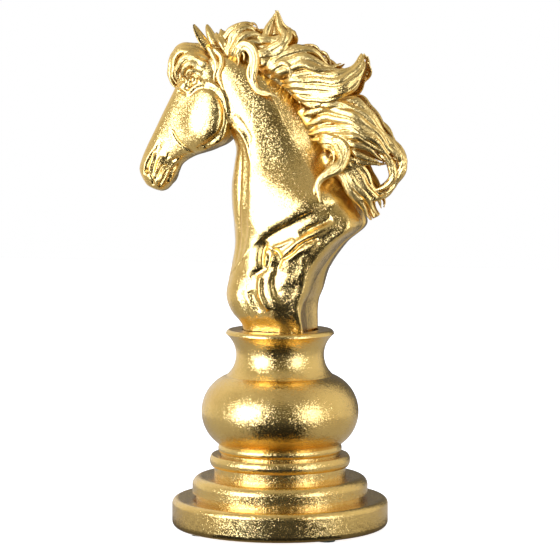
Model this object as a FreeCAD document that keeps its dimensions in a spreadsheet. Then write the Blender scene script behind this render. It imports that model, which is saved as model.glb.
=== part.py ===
"""Giant knight chess piece: a hollow cast horse bust on a turned pedestal, held together by a tie rod.

Frame: +Z up, origin on the pedestal's axis where the foot pads meet the ground, the horse's nose towards -X
and its left side towards -Y. Lengths are in millimetres.

The pedestal is a stack of six turned castings, each centred on the one below by a raised register. The rod runs
from a nut inside the plinth to an insert in the bust's floor. Sand in the plinth is the ballast: it goes in
through a screw plug in the base cover.
"""
import os
import re
from math import atan2, degrees

import FreeCAD
import Part
import Sketcher
from FreeCAD import Placement, Rotation, Vector

DIMENSIONS = {
    # feet and base cover
    "pad_height": 2.5,
    "pad_radius": 10,
    "pad_offset": 74,
    "cover_radius": 115.7,
    "cover_thickness": 5,
    "screw_circle": 108,
    "screw_radius": 1.75,
    "screw_head_radius": 3.5,
    "screw_head_height": 2.2,
    "screw_length": 16,
    "pilot_run_on": 1,
    # turned castings, from the ground up; a "top" is a height above the ground
    "plinth_radius": 125,
    "plinth_top": 36,
    "plinth_round": 7,
    "plinth_cavity_radius": 100,
    "recess_radius": 116,
    "step_radius": 101.5,
    "step_top": 61,
    "step_round": 10,
    "step_cove_radius": 97,
    "step_cove_height": 6,
    "band_radius": 81,
    "band_top": 86,
    "band_height": 13,
    "band_round": 10,
    "band_bulge": 2,
    "cove_radius": 76,
    "bead_radius": 71.5,
    "bead_top": 98,
    "bead_height": 9,
    "bead_round": 7,
    "bead_bulge": 1.5,
    "bead_neck_radius": 68,
    "bulb_bottom_radius": 70,
    "bulb_top_radius": 62,
    "bulb_arc": 45,
    "bulb_top": 178,
    "bulb_inner_radius": 58,
    "bulb_inner_arc": 38,
    "collar_arc": 31,
    "collar_inner": 40,
    "rim_radius": 62.5,
    "rim_height": 5,
    "rim_inset": 3.5,
    "collar_top": 231,
    # castings' insides
    "wall": 9,
    "deck": 8,
    "register_height": 3,
    "register_gap": 0.2,
    "boss_radius": 24,
    "nut_well_radius": 16,
    "nut_well_top": 20,
    # tie rod and its fixings
    "rod_radius": 5,
    "rod_hole_radius": 5.5,
    "rod_bottom": 8.8,
    "rod_length": 240,
    "washer_radius": 15,
    "washer_thickness": 1.6,
    "nut_corner_radius": 9.8,
    "nut_height": 8,
    "insert_radius": 9,
    "insert_length": 20,
    "running_gap": 0.05,
    "dowel_radius": 3,
    "dowel_length": 20,
    "dowel_offset": 22,
    # ballast filler
    "filler_offset": 55,
    "filler_bore_radius": 12.05,
    "filler_body_radius": 17,
    "filler_flange_radius": 22,
    "filler_flange": 2,
    "filler_height": 12.5,
    "plug_radius": 12,
    "plug_head_radius": 15,
    "plug_head": 2.4,
    "plug_length": 11.4,
    "plug_well_radius": 15.2,
    "plug_well": 3.5,
    "plug_recess": 0.1,
    "coin_slot_width": 2.4,
    "coin_slot_depth": 1.7,
    "seal_thickness": 1,
    "seal_radius": 14.6,
    "sand_gap": 0.5,
    # bust: one sculpt unit, the widest half widths and the casting's wall
    "sculpt_unit": 1,
    "foot_radius": 44.2,
    "foot_recess": 4,
    "chest_half_width": 54,
    "head_half_width": 31,
    "bust_wall": 8,
    "floor_radius": 30,
    "floor_height": 25,
    "ear_half_width": 8,
}

# Bust sections, in sculpt units: (front x, front z), (back x, back z), half width as a share of the widest.
NECK_SECTIONS = [
    ((-43, 229), (42, 229), 0.78),
    ((-55, 251), (38, 251), 0.85),
    ((-62.5, 277), (44, 277), 0.97),
    ((-57, 303), (55, 303), 1.0),
    ((-53, 332), (78, 331), 0.98),
    ((-54, 356), (98, 353), 0.92),
    ((-56, 378), (82, 381), 0.83),
    ((-56, 399), (66, 412), 0.73),
    ((-54, 421), (57, 440), 0.64),
    ((-53, 440), (42, 468), 0.59),
    ((-62, 463), (22, 499), 0.55),
    ((-77, 486), (-8, 529), 0.51),
    ((-90, 512), (-42, 548), 0.42),
    ((-99, 530), (-62, 555), 0.34),
]
HEAD_SECTIONS = [
    ((-104, 549), (-58, 530), 0.70),
    ((-115, 527), (-53, 482), 0.92),
    ((-128, 500), (-61, 448), 1.0),
    ((-141, 476), (-86, 436), 0.82),
    ((-152, 455), (-106, 426), 0.64),
    ((-161, 436), (-118, 416), 0.60),
    ((-167, 416), (-125, 402), 0.58),
    ((-160, 398), (-135, 392), 0.38),
]
EAR_SECTIONS = [
    (-65, 10, 531, 1.0),
    (-75, 13, 553, 1.05),
    (-85, 16, 567, 0.75),
    (-98, 17, 582, 0.14),
]

# Locks of hair, in sculpt units: one station per line, (x, y, z, half depth, half width).
LOCKS = {
    "forelock": [
        (-78, 0, 556, 8, 13),
        (-100, 0, 556, 10, 19),
        (-117, 0, 546, 11, 19),
        (-123, 0, 526, 10, 17),
        (-121, 0, 502, 5, 9),
    ],
    "mane_crest": [
        (-64, 0, 553, 9, 12),
        (-48, 0, 564, 20, 20),
        (-28, 0, 560, 26, 24),
        (-5, 0, 548, 28, 27),
        (18, 0, 534, 29, 28),
        (42, 0, 515, 31, 29),
        (66, 0, 494, 33, 29),
    ],
    "mane_tuft_top": [
        (-6, -4, 570, 9, 11),
        (-11, -4, 584, 6, 8),
        (-9, -4, 600, 2, 3),
    ],
    "mane_flick": [
        (58, -16, 498, 12, 9),
        (76, -20, 502, 11, 9),
        (89, -20, 512, 10, 8),
        (96, -18, 528, 7, 6),
        (98, -16, 545, 2, 2),
    ],
    "mane_fall": [
        (56, 0, 500, 26, 24),
        (78, 0, 474, 28, 27),
        (100, 0, 450, 24, 26),
        (120, 0, 434, 17, 20),
        (134, 0, 421, 12, 15),
    ],
    "mane_loop": [
        (132, -2, 424, 11, 14),
        (140, -2, 408, 9, 12),
        (135, -2, 396, 7, 10),
        (122, -2, 387, 7, 9),
        (106, -2, 383, 8, 10),
    ],
    "mane_fringe": [
        (54, 0, 462, 14, 20),
        (66, 0, 440, 18, 22),
        (82, 0, 410, 20, 22),
        (98, 0, 384, 17, 18),
        (107, 0, 366, 12, 14),
        (111, 0, 354, 5, 8),
    ],
    "neck_strand": [
        (-28, -22, 560, 5, 5),
        (-18, -23, 546, 5, 5),
        (-20, -22, 528, 5, 5),
        (-18, -25, 510, 5, 5),
        (-11, -27, 499, 4, 4),
        (3, -26, 490, 3, 3),
    ],
    "neck_curl": [
        (56, -20, 446, 6, 6),
        (76, -26, 450, 7, 7),
        (89, -27, 434, 7, 7),
        (86, -26, 415, 7, 7),
        (72, -27, 400, 6, 6),
        (58, -30, 388, 5, 5),
        (54, -36, 377, 4, 4),
        (60, -38, 367, 3, 3),
    ],
}
LOFT_DEGREE = 2  # a higher degree swings wide of the sections
EAR_TILT = -35  # degrees about +Y that lay an ear's sections square to it
EAR_FLATNESS = 0.7  # an ear's thickness as a share of its width
SAME_POINT = 1e-6
LEAST_CUT = 1  # cubic millimetres

doc = FreeCAD.newDocument("knight")
sheet = doc.addObject("Spreadsheet::Sheet", "dims")


def fill_sheet():
    """One row per driving dimension: its name in column A, its value in column B under that alias."""
    for row, (name, size) in enumerate(DIMENSIONS.items(), start=1):
        sheet.set(f"A{row}", name)
        sheet.set(f"B{row}", str(size))
        sheet.setAlias(f"B{row}", name)
    doc.recompute()


def bound(text):
    """The expression with each dimension's name pointed at the sheet."""
    return re.sub(r"[a-z][a-z_]+", r"dims.\g<0>", text)


def value(text):
    """The expression's present value in millimetres."""
    return float(sheet.evalExpression(bound(text)))


def bind(thing, **properties):
    """Binds each named property, written with __ for a dot, to an expression of the sheet."""
    for name, text in properties.items():
        thing.setExpression(name.replace("__", "."), bound(text))


def place(thing, x="0", y="0", z="0"):
    """Binds the position in thing's Placement."""
    bind(thing, Placement__Base__x=x, Placement__Base__y=y, Placement__Base__z=z)


# ---------------------------------------------------------------- turned castings


def arc_between(start, end, radius):
    """The short arc from start to end; a positive radius bulges to the right of that direction."""
    if radius < 0:
        return arc_between(end, start, -radius)
    chord = end - start
    half = chord.Length / 2
    across = Vector(chord.y, -chord.x, 0).normalize()
    rise = radius - (radius * radius - half * half) ** 0.5
    return Part.Arc(start, start + chord * 0.5 + across * rise, end)


def draw_profile(sketch, corners):
    """A closed profile. A corner is (r, z) or (r, z, radius of the arc to the next corner), as expressions."""
    points = [Vector(value(c[0]), value(c[1]), 0) for c in corners]
    for i, corner in enumerate(corners):
        start, end = points[i], points[(i + 1) % len(points)]
        if len(corner) == 3:
            sketch.addGeometry(arc_between(start, end, value(corner[2])), False)
        else:
            sketch.addGeometry(Part.LineSegment(start, end), False)
    for i, corner in enumerate(corners):
        following = (i + 1) % len(corners)
        curve = sketch.Geometry[i]
        first, last = (1, 2) if curve.StartPoint.distanceToPoint(points[i]) < SAME_POINT else (2, 1)
        next_curve = sketch.Geometry[following]
        next_first = 1 if next_curve.StartPoint.distanceToPoint(points[following]) < SAME_POINT else 2
        sketch.addConstraint(Sketcher.Constraint("Coincident", i, last, following, next_first))
        for kind, text in (("DistanceX", corner[0]), ("DistanceY", corner[1])):
            number = sketch.addConstraint(Sketcher.Constraint(kind, -1, 1, i, first, value(text)))
            sketch.setExpression(f"Constraints[{number}]", bound(text))
        if len(corner) == 3:
            size = corner[2].lstrip("-")
            number = sketch.addConstraint(Sketcher.Constraint("Radius", i, value(size)))
            sketch.setExpression(f"Constraints[{number}]", bound(size))


def sketch_on(body, role, name):
    """A new sketch on one of the body's own origin planes."""
    sketch = body.newObject("Sketcher::SketchObject", name)
    plane = next(f for f in body.Origin.OriginFeatures if f.Role == role)
    sketch.AttachmentSupport = (plane, [""])
    sketch.MapMode = "FlatFace"
    return sketch


def turned(label, corners):
    """A body of revolution about the pedestal's axis."""
    body = doc.addObject("PartDesign::Body", label)
    profile = sketch_on(body, "XZ_Plane", label + "_profile")
    draw_profile(profile, corners)
    turn = body.newObject("PartDesign::Revolution", label + "_turn")
    turn.Profile = profile
    turn.ReferenceAxis = (profile, ["V_Axis"])
    turn.Angle = 360
    doc.recompute()
    return body


def drill(body, name, radius, bottom, top, spots):
    """Round holes through body between two heights, one at each (x, y) expression pair."""
    circles = sketch_on(body, "XY_Plane", name + "_circles")
    bind(circles, AttachmentOffset__Base__z=bottom)
    for number, (x, y) in enumerate(spots):
        centre = Vector(value(x), value(y), 0)
        circles.addGeometry(Part.Circle(centre, Vector(0, 0, 1), value(radius)), False)
        size = circles.addConstraint(Sketcher.Constraint("Radius", number, value(radius)))
        circles.setExpression(f"Constraints[{size}]", bound(radius))
        for kind, text in (("DistanceX", x), ("DistanceY", y)):
            spot = circles.addConstraint(Sketcher.Constraint(kind, -1, 1, number, 3, value(text)))
            circles.setExpression(f"Constraints[{spot}]", bound(text))
    doc.recompute()
    before = body.Shape.Volume
    pocket = body.newObject("PartDesign::Pocket", name)
    pocket.Profile = circles
    pocket.Reversed = True
    bind(pocket, Length=f"{top} - ({bottom})")
    doc.recompute()
    if body.Shape.Volume > before - LEAST_CUT:
        raise RuntimeError(f"{name} cut nothing")


def quarter_spots(circle):
    """Four spots on the row's axes at this radius."""
    return [(circle, "0"), ("0", circle), (f"-{circle}", "0"), ("0", f"-{circle}")]


def make_plinth():
    """Base casting: recess for the cover, ring cavity for the sand and a central boss for the nut."""
    body = turned(
        "plinth",
        [
            ("recess_radius", "pad_height"),
            ("plinth_radius - plinth_round", "pad_height", "plinth_round"),
            ("plinth_radius", "pad_height + plinth_round"),
            ("plinth_radius", "plinth_top - plinth_round", "plinth_round"),
            ("plinth_radius - plinth_round", "plinth_top"),
            ("step_cove_radius - wall - register_gap", "plinth_top"),
            ("step_cove_radius - wall - register_gap", "plinth_top + register_height"),
            ("rod_hole_radius", "plinth_top + register_height"),
            ("rod_hole_radius", "nut_well_top"),
            ("nut_well_radius", "nut_well_top"),
            ("nut_well_radius", "pad_height + cover_thickness"),
            ("boss_radius", "pad_height + cover_thickness"),
            ("boss_radius", "plinth_top - deck"),
            ("plinth_cavity_radius", "plinth_top - deck"),
            ("plinth_cavity_radius", "pad_height + cover_thickness"),
            ("recess_radius", "pad_height + cover_thickness"),
        ],
    )
    cover_top = "pad_height + cover_thickness"
    pilot_top = "pad_height + screw_length + pilot_run_on"
    spots = quarter_spots("screw_circle")
    drill(body, "screw_pilots", "screw_radius + running_gap", cover_top, pilot_top, spots)
    return body


def make_step():
    """Upper base: rounded shoulder over a cove."""
    return turned(
        "shoulder_step",
        [
            ("step_cove_radius - wall", "plinth_top"),
            ("step_cove_radius", "plinth_top"),
            ("step_cove_radius", "plinth_top + step_cove_height"),
            ("step_radius", "plinth_top + step_cove_height"),
            ("step_radius", "step_top - step_round", "step_round"),
            ("step_radius - step_round", "step_top"),
            ("cove_radius - wall - register_gap", "step_top"),
            ("cove_radius - wall - register_gap", "step_top + register_height"),
            ("rod_hole_radius", "step_top + register_height"),
            ("rod_hole_radius", "step_top - deck"),
            ("step_cove_radius - wall", "step_top - deck"),
        ],
    )


def make_band():
    """Rounded band over a plain cove."""
    return turned(
        "band_ring",
        [
            ("cove_radius - wall", "step_top"),
            ("cove_radius", "step_top"),
            ("cove_radius", "band_top - band_height"),
            ("band_radius - band_bulge", "band_top - band_height", "band_round"),
            ("band_radius - band_bulge", "band_top"),
            ("bead_neck_radius - wall - register_gap", "band_top"),
            ("bead_neck_radius - wall - register_gap", "band_top + register_height"),
            ("rod_hole_radius", "band_top + register_height"),
            ("rod_hole_radius", "band_top - deck"),
            ("cove_radius - wall", "band_top - deck"),
        ],
    )


def make_bead():
    """Slim bead that carries the bulb."""
    return turned(
        "bead_ring",
        [
            ("bead_neck_radius - wall", "band_top"),
            ("bead_neck_radius", "band_top"),
            ("bead_neck_radius", "bead_top - bead_height"),
            ("bead_radius - bead_bulge", "bead_top - bead_height", "bead_round"),
            ("bead_radius - bead_bulge", "bead_top"),
            ("bulb_inner_radius - register_gap", "bead_top"),
            ("bulb_inner_radius - register_gap", "bead_top + register_height"),
            ("rod_hole_radius", "bead_top + register_height"),
            ("rod_hole_radius", "bead_top - deck + register_height"),
            ("bead_neck_radius - wall", "bead_top - deck + register_height"),
        ],
    )


def make_bulb():
    """Round belly: one arc outside, a concentric one inside."""
    return turned(
        "bulb",
        [
            ("bulb_inner_radius", "bead_top"),
            ("bulb_bottom_radius", "bead_top", "bulb_arc"),
            ("bulb_top_radius", "bulb_top"),
            ("collar_inner - register_gap", "bulb_top"),
            ("collar_inner - register_gap", "bulb_top + register_height"),
            ("rod_hole_radius", "bulb_top + register_height"),
            ("rod_hole_radius", "bulb_top - deck"),
            ("bulb_inner_radius", "bulb_top - deck", "-bulb_inner_arc"),
            ("bulb_inner_radius", "bead_top + deck"),
        ],
    )


def make_collar():
    """Waisted collar with a flared rim and a recess for the bust's foot."""
    body = turned(
        "collar",
        [
            ("collar_inner", "bulb_top"),
            ("bulb_top_radius", "bulb_top", "-collar_arc"),
            ("rim_radius", "collar_top - rim_height", "rim_height"),
            ("rim_radius - rim_inset", "collar_top"),
            ("foot_radius + register_gap", "collar_top"),
            ("foot_radius + register_gap", "collar_top - foot_recess"),
            ("rod_hole_radius", "collar_top - foot_recess"),
            ("rod_hole_radius", "collar_top - foot_recess - deck"),
            ("collar_inner", "collar_top - foot_recess - deck"),
        ],
    )
    recess = "collar_top - foot_recess"
    drill(body, "dowel_holes", "dowel_radius", f"{recess} - deck", recess, dowel_spots())
    return body


def dowel_spots():
    """The two dowels that stop the bust from turning on the collar."""
    return [("dowel_offset", "0"), ("-dowel_offset", "0")]


# ---------------------------------------------------------------- fixings, feet and filler


def cylinder(name, radius, bottom, height, x="0", y="0"):
    """An upright cylinder bound to the sheet."""
    made = doc.addObject("Part::Cylinder", name)
    bind(made, Radius=radius, Height=height)
    place(made, x, y, bottom)
    return made


def cone(name, low, high, bottom, height, x="0", y="0"):
    """An upright cone bound to the sheet, from its radius below to its radius above."""
    made = doc.addObject("Part::Cone", name)
    bind(made, Radius1=low, Radius2=high, Height=height)
    place(made, x, y, bottom)
    return made


def joined(name, *pieces):
    """All the pieces as one object."""
    made = doc.addObject("Part::MultiFuse", name)
    made.Shapes = list(pieces)
    return made


def cut(name, base, *tools):
    """base less every tool."""
    tool = tools[0] if len(tools) == 1 else joined(name + "_tools", *tools)
    made = doc.addObject("Part::Cut", name)
    made.Base = base
    made.Tool = tool
    doc.recompute()
    return made


def grouped(name, pieces):
    """Identical pieces as one object of separate solids."""
    made = doc.addObject("Part::Compound", name)
    made.Links = pieces
    return made


def make_rod_set():
    """Tie rod, and below it the washer and nut that pull the stack together."""
    rod = cylinder("tie_rod", "rod_radius", "rod_bottom", "rod_length")
    bottom = "nut_well_top - washer_thickness"
    washer = cut(
        "tie_rod_washer",
        cylinder("washer_disc", "washer_radius", bottom, "washer_thickness"),
        cylinder("washer_hole", "rod_hole_radius", bottom, "washer_thickness"),
    )
    hexagon = doc.addObject("Part::Prism", "nut_hexagon")
    hexagon.Polygon = 6
    bind(hexagon, Circumradius="nut_corner_radius", Height="nut_height")
    place(hexagon, z=f"{bottom} - nut_height")
    hole = cylinder("nut_hole", "rod_radius + running_gap", f"{bottom} - nut_height", "nut_height")
    return [rod, washer, cut("tie_rod_nut", hexagon, hole)]


def make_bust_floor():
    """Closing disc bonded into the bust's foot, with the insert that takes the rod and holes for the dowels."""
    bottom = "collar_top - foot_recess"
    insert_bottom = "collar_top"
    disc = cylinder("floor_disc", "floor_radius - register_gap", bottom, "floor_height")
    insert_hole = cylinder("insert_hole", "insert_radius", insert_bottom, "insert_length + deck")
    rod_hole = cylinder("floor_rod_hole", "rod_hole_radius", bottom, "floor_height")
    holes = [
        cylinder(f"floor_dowel_hole_{i}", "dowel_radius", bottom, "dowel_length - deck", x, y)
        for i, (x, y) in enumerate(dowel_spots())
    ]
    floor = cut("bust_floor", disc, insert_hole, rod_hole, *holes)
    insert = cut(
        "rod_insert",
        cylinder("insert_sleeve", "insert_radius", insert_bottom, "insert_length"),
        cylinder("insert_bore", "rod_radius + running_gap", insert_bottom, "insert_length"),
    )
    dowels = [
        cylinder(f"dowel_{i}", "dowel_radius", f"{bottom} - deck", "dowel_length", x, y)
        for i, (x, y) in enumerate(dowel_spots())
    ]
    return [floor, insert, grouped("bust_dowels", dowels)]


def screw_at(number, x, y):
    """Countersunk screw, head down, flush with the cover."""
    bottom, neck = "pad_height", "pad_height + screw_head_height"
    head = cone(f"screw_head_{number}", "screw_head_radius", "screw_radius", bottom, "screw_head_height", x, y)
    shank = cylinder(f"screw_shank_{number}", "screw_radius", neck, "screw_length - screw_head_height", x, y)
    return joined(f"screw_{number}", head, shank)


def make_cover_set():
    """Base cover, its screws, and the four felt pads under it."""
    spots = quarter_spots("screw_circle")
    tools = [cylinder("filler_hole", "filler_body_radius", "pad_height", "cover_thickness", "-filler_offset")]
    for number, (x, y) in enumerate(spots):
        tools.append(cylinder(f"cover_hole_{number}", "screw_radius + running_gap", "pad_height",
                              "cover_thickness", x, y))
        tools.append(cone(f"countersink_{number}", "screw_head_radius", "screw_radius", "pad_height",
                          "screw_head_height", x, y))
    cover = cut("base_cover", cylinder("cover_disc", "cover_radius", "pad_height", "cover_thickness"), *tools)
    screws = grouped("cover_screws", [screw_at(i, x, y) for i, (x, y) in enumerate(spots)])
    sides = ("pad_offset", "-pad_offset")
    corners = [(x, y) for x in sides for y in sides]
    pads = [cylinder(f"pad_{i}", "pad_radius", "0", "pad_height", x, y) for i, (x, y) in enumerate(corners)]
    return [cover, screws, grouped("foot_pads", pads)]


def make_filler_set():
    """Ballast filler: a flanged socket in the cover, a screw plug with a coin slot, its seal, and the sand."""
    at = "-filler_offset"
    cover_top = "pad_height + cover_thickness"
    well_top = "pad_height + plug_well"
    socket = cut(
        "filler_socket",
        joined(
            "socket_body",
            cylinder("socket_barrel", "filler_body_radius", "pad_height", "filler_height", at),
            cylinder("socket_flange", "filler_flange_radius", cover_top, "filler_flange", at),
        ),
        cylinder("socket_bore", "filler_bore_radius", "pad_height", "filler_height", at),
        cylinder("socket_well", "plug_well_radius", "pad_height", "plug_well", at),
    )
    plug_bottom = "pad_height + plug_recess"
    slot = doc.addObject("Part::Box", "coin_slot")
    bind(slot, Length="plug_radius * 2", Width="coin_slot_width", Height="coin_slot_depth")
    place(slot, f"{at} - plug_radius", "-coin_slot_width / 2", plug_bottom)
    plug = cut(
        "filler_plug",
        joined(
            "plug_solid",
            cylinder("plug_head_disc", "plug_head_radius", plug_bottom, "plug_head", at),
            cylinder("plug_barrel", "plug_radius", plug_bottom, "plug_length", at),
        ),
        slot,
    )
    seal_bottom = f"{well_top} - seal_thickness"
    seal = cut(
        "plug_seal",
        cylinder("seal_disc", "seal_radius", seal_bottom, "seal_thickness", at),
        cylinder("seal_hole", "plug_radius + running_gap", seal_bottom, "seal_thickness", at),
    )
    sand_bottom = f"{cover_top} + sand_gap"
    sand_height = "plinth_top - deck - pad_height - cover_thickness - sand_gap * 2"
    sand = cut(
        "sand_fill",
        cylinder("sand_disc", "plinth_cavity_radius - sand_gap", sand_bottom, sand_height),
        cylinder("sand_boss_room", "boss_radius + sand_gap", sand_bottom, sand_height),
        cylinder("sand_socket_room", "filler_flange_radius + sand_gap", sand_bottom, "filler_height", at),
    )
    return [socket, plug, seal, sand]


# ---------------------------------------------------------------- bust and hair


def units(number):
    """A length of this many sculpt units, as an expression."""
    return f"sculpt_unit * {number:.3f}"


def oval(name, centre, turn, half_depth, half_width):
    """An elliptical section whose sizes and place follow the sheet; turn is its FreeCAD rotation."""
    made = doc.addObject("Part::Ellipse", name)
    made.Placement = Placement(Vector(0, 0, 0), turn)
    bind(made, MajorRadius=half_depth, MinorRadius=half_width)
    place(made, *(units(c) for c in centre))
    return made


def lofted(name, sections):
    """A closed solid through the sections."""
    made = doc.addObject("Part::Loft", name)
    made.Sections = sections
    made.Solid = True
    made.MaxDegree = LOFT_DEGREE
    doc.recompute()
    return made


def profile_loft(name, sections, widest, inset="0"):
    """A loft through upright ovals, each spanning from its front point to its back point in the XZ plane."""
    ovals = []
    for i, (front, back, share) in enumerate(sections):
        across = Vector(back[0] - front[0], 0, back[1] - front[1])
        turn = Rotation(Vector(0, 1, 0), degrees(atan2(-across.z, across.x)))
        centre = ((front[0] + back[0]) / 2, 0, (front[1] + back[1]) / 2)
        depth = f"{units(across.Length / 2)} - {inset}"
        ovals.append(oval(f"{name}_section_{i}", centre, turn, depth, f"{widest} * {share} - {inset}"))
    return lofted(name, ovals)


def make_bust():
    """Hollow horse bust on a round foot, and its solid outside shape, which the hair is fitted to."""
    neck = profile_loft("neck_form", NECK_SECTIONS, "chest_half_width")
    head = profile_loft("head_form", HEAD_SECTIONS, "head_half_width")
    foot = cylinder("foot_form", "foot_radius", "collar_top - foot_recess", "foot_recess")
    outside = joined("bust_outside", neck, head, foot)
    cavity = profile_loft("neck_cavity", NECK_SECTIONS[1:-4], "chest_half_width", "bust_wall")
    opening = cylinder("foot_opening", "floor_radius", "collar_top - foot_recess", "floor_height")
    return cut("bust_shell", outside, cavity, opening), outside


def make_ear(label, side, outside):
    """A leaf-shaped ear; side is -1 for the left and 1 for the right."""
    ovals = []
    for i, (x, y, z, share) in enumerate(EAR_SECTIONS):
        turn = Rotation(Vector(0, 1, 0), EAR_TILT)
        depth, width = f"ear_half_width * {share}", f"ear_half_width * {share * EAR_FLATNESS:.3f}"
        ovals.append(oval(f"{label}_section_{i}", (x, side * y, z), turn, depth, width))
    return cut(label, lofted(label + "_form", ovals), outside)


def lock_form(name, stations):
    """A tapering lock of hair through its stations, each section square to the way the lock runs."""
    ovals = []
    for i, (x, y, z, depth, width) in enumerate(stations):
        before, after = stations[max(i - 1, 0)], stations[min(i + 1, len(stations) - 1)]
        along = Vector(after[0] - before[0], after[1] - before[1], after[2] - before[2]).normalize()
        level = Vector(0, 1, 0)
        deep = level.cross(along).normalize()
        major, minor = (deep, along.cross(deep)) if depth >= width else (along.cross(deep), deep)
        turn = Rotation(major, minor, along, "ZXY")
        longer, shorter = units(max(depth, width)), units(min(depth, width))
        ovals.append(oval(f"{name}_section_{i}", (x, y, z), turn, longer, shorter))
    return lofted(name, ovals)


def make_hair(outside, ears):
    """Locks bonded to the bust, each trimmed to the pieces that it lies against."""
    form = {name: lock_form(name + "_form", stations) for name, stations in LOCKS.items()}
    crest_form = joined("crest_form", form["mane_crest"], form["mane_tuft_top"])
    forelock = cut("forelock", form["forelock"], outside, *ears, crest_form)
    crest = cut("mane_crest", crest_form, outside, *ears)
    fall_form = joined("fall_form", form["mane_fall"], form["mane_loop"])
    fall = cut("mane_fall", fall_form, outside, crest_form)
    flick = cut("mane_flick", form["mane_flick"], outside, crest_form, fall_form)
    fringe = cut("mane_fringe", form["mane_fringe"], outside, fall_form)
    strand = cut("neck_strand", form["neck_strand"], outside, crest_form)
    curl = cut("neck_curl", form["neck_curl"], outside, fall_form, form["mane_fringe"])
    return [forelock, crest, fall, flick, fringe, strand, curl]


# ---------------------------------------------------------------- assembly


def check(parts):
    """Stops on any failed object or any sub-part without a sound solid."""
    failed = [o.Label for o in doc.Objects if {"Invalid", "Error"} & set(o.State)]
    if failed:
        raise RuntimeError(f"failed objects: {failed}")
    for part in parts:
        if part.Shape.isNull() or not part.Shape.isValid() or not part.Shape.Solids:
            raise RuntimeError(f"{part.Label} has no valid solid")


def write(parts):
    """One STEP file per sub-part, named by its label."""
    os.makedirs("parts", exist_ok=True)
    for part in parts:
        part.Shape.exportStep(os.path.join("parts", part.Label + ".step"))


def main():
    fill_sheet()
    pedestal = [make_plinth(), make_step(), make_band(), make_bead(), make_bulb(), make_collar()]
    shell, outside = make_bust()
    ears = [make_ear("left_ear", -1, outside), make_ear("right_ear", 1, outside)]
    parts = pedestal + make_rod_set() + make_bust_floor() + make_cover_set() + make_filler_set()
    parts += [shell] + ears + make_hair(outside, ears)
    doc.recompute()
    check(parts)
    write(parts)


main()
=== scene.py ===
"""Looks of the gilded knight: the sculpted bust and mane, the gold leaf, and the studio."""
import math

import bpy
import numpy as np
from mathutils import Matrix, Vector


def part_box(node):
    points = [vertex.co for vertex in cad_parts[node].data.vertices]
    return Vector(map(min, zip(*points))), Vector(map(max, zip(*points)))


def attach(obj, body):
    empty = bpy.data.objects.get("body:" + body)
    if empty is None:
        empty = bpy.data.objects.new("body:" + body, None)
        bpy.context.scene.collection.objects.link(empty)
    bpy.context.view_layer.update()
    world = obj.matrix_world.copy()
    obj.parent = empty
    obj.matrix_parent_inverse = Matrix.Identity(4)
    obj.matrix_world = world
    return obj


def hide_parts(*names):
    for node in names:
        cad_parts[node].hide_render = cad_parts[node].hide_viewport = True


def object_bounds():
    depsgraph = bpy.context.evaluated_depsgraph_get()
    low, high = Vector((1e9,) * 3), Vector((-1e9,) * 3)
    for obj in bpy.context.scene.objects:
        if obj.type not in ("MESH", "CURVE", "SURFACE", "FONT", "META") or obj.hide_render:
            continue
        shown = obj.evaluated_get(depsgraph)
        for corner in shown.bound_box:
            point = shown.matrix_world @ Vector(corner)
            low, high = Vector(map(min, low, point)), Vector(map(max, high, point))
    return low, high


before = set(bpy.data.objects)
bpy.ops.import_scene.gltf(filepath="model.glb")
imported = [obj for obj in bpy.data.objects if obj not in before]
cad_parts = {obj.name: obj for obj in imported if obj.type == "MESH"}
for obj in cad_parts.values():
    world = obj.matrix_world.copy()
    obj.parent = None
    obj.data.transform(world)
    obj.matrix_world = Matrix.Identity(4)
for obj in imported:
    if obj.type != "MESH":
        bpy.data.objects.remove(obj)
cad_low, cad_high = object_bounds()

# The bust is sculpted in units of a millimetre at full size, measured from the ground.
CASTING_HEIGHT = 328
CASTING_FOOT = 227
bust_low, bust_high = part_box("bust_shell")
UNIT = (bust_high.z - bust_low.z) / CASTING_HEIGHT
GROUND = bust_low.z - CASTING_FOOT * UNIT


# ---------------------------------------------------------------- meshes


def to_frame(points):
    """Sculpt units to metres in the part's frame."""
    return np.asarray(points, float) * UNIT + np.array([0, 0, GROUND])


def new_object(name, mesh):
    """A mesh object in the scene, shaded smooth."""
    obj = bpy.data.objects.new(name, mesh)
    bpy.context.scene.collection.objects.link(obj)
    mesh.shade_smooth()
    return obj


def mesh_object(name, points, faces):
    """An object from points in sculpt units."""
    mesh = bpy.data.meshes.new(name)
    mesh.from_pydata(to_frame(points).tolist(), [], faces)
    mesh.update()
    return new_object(name, mesh)


def get_points(mesh):
    """The mesh's vertices in sculpt units."""
    flat = np.empty(len(mesh.vertices) * 3)
    mesh.vertices.foreach_get("co", flat)
    return (flat.reshape(-1, 3) - np.array([0, 0, GROUND])) / UNIT


def set_points(mesh, points):
    """Moves the mesh's vertices to points in sculpt units."""
    mesh.vertices.foreach_set("co", to_frame(points).ravel())
    mesh.update()


def get_normals(mesh):
    """The vertices' unit normals."""
    flat = np.empty(len(mesh.vertices) * 3)
    mesh.vertices.foreach_get("normal", flat)
    return flat.reshape(-1, 3)


def spline(stations, samples):
    """A smooth curve through rows of numbers: samples rows, evenly spaced by station."""
    rows = np.asarray(stations, float)
    padded = np.vstack([2 * rows[0] - rows[1], rows, 2 * rows[-1] - rows[-2]])
    spots = np.linspace(0, len(rows) - 1, samples)
    left = np.minimum(spots.astype(int), len(rows) - 2)
    t = (spots - left)[:, None]
    before, start, end, after = (padded[left + k] for k in range(4))
    linear = end - before
    square = 2 * before - 5 * start + 4 * end - after
    cubic = 3 * start - before - 3 * end + after
    return 0.5 * (2 * start + linear * t + square * t**2 + cubic * t**3)


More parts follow.
